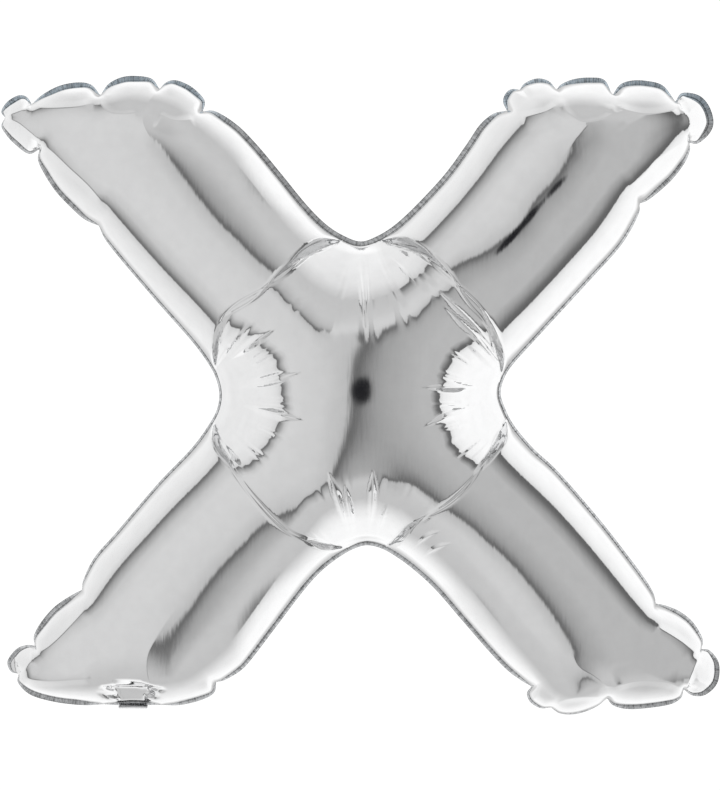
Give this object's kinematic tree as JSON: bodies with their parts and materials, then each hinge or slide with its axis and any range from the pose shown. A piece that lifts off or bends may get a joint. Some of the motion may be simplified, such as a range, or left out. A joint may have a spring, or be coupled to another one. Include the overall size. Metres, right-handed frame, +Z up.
{
  "type": "letter foil balloon",
  "caption": "Inflated mirror-silver foil balloon in the shape of a capital X, with a welded crimped rim, puckered arm ends and a folded filling neck.",
  "frame": {"origin": "middle of the X, in the plane of the weld between the two foils", "axes": "+X to the right and +Z up as the letter is read, -Y out of its front"},
  "size_m": [0.8972, 0.253, 0.7984],
  "materials": {
    "silver_foil": "mirror-silver metallised film, smooth and taut",
    "crimped_rim": "metallised film, heat-welded and finely crimped",
    "neck_film": "slack metallised film, softly creased",
    "valve_film": "milky polyethylene film"
  },
  "bodies": {
    "root": {"front_foil": "silver_foil", "back_foil": "silver_foil", "seam_rim": "crimped_rim", "neck_front_film": "neck_film", "neck_back_film": "neck_film", "valve_liner": "valve_film"}
  },
  "joints": []
}
